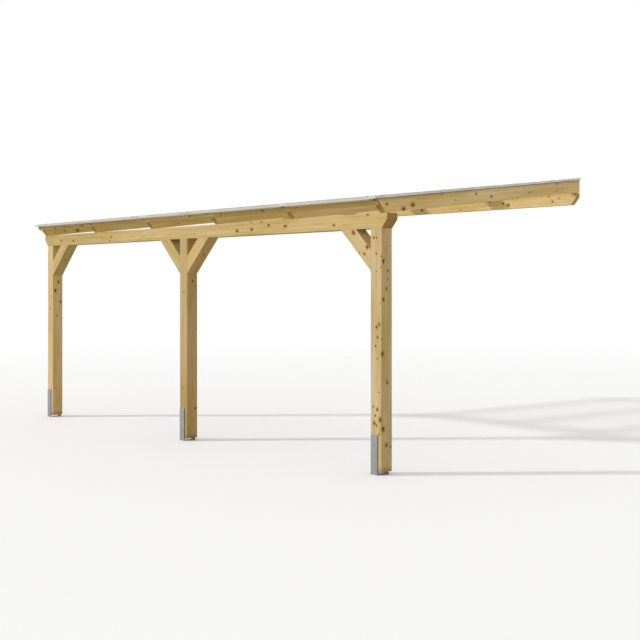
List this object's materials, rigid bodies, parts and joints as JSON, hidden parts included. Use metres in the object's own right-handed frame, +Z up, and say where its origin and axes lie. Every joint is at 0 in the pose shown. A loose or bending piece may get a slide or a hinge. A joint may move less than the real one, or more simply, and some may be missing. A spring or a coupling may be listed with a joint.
{
  "type": "lean-to carport",
  "caption": "Lean-to timber carport: posts with knee braces carry an outer beam, sloping rafters run to a wall ledger, clear sheet roof.",
  "frame": {"origin": "centre of the ledger's wall face", "axes": "+X along the wall towards the near end of the picture, +Y into the wall, +Z up"},
  "size_m": [5.42, 2.8394, 2.5345],
  "materials": {
    "timber": "planed, pressure treated",
    "galvanised_steel": "hot-dip galvanised",
    "aluminium_profile": "satin",
    "clear_sheet": "clear twin-wall polycarbonate"
  },
  "bodies": {
    "root": {"post_near": "timber", "post_mid": "timber", "post_far": "timber", "outer_beam": "timber", "wall_ledger": "timber", "knee_brace_near": "timber", "knee_brace_mid_near": "timber", "knee_brace_mid_far": "timber", "knee_brace_far": "timber", "eaves_lath": "timber", "rafter_1": "timber", "rafter_2": "timber", "rafter_3": "timber", "rafter_4": "timber", "rafter_5": "timber", "rafter_6": "timber", "post_anchor_near": "galvanised_steel", "post_anchor_mid": "galvanised_steel", "post_anchor_far": "galvanised_steel", "glazing_bar_1": "aluminium_profile", "glazing_bar_2": "aluminium_profile", "glazing_bar_3": "aluminium_profile", "glazing_bar_4": "aluminium_profile", "glazing_bar_5": "aluminium_profile", "glazing_bar_6": "aluminium_profile", "eave_profile_1": "aluminium_profile", "eave_profile_2": "aluminium_profile", "eave_profile_3": "aluminium_profile", "eave_profile_4": "aluminium_profile", "eave_profile_5": "aluminium_profile", "wall_profile_1": "aluminium_profile", "wall_profile_2": "aluminium_profile", "wall_profile_3": "aluminium_profile", "wall_profile_4": "aluminium_profile", "wall_profile_5": "aluminium_profile", "roof_panel_1": "clear_sheet", "roof_panel_2": "clear_sheet", "roof_panel_3": "clear_sheet", "roof_panel_4": "clear_sheet", "roof_panel_5": "clear_sheet"}
  },
  "joints": []
}
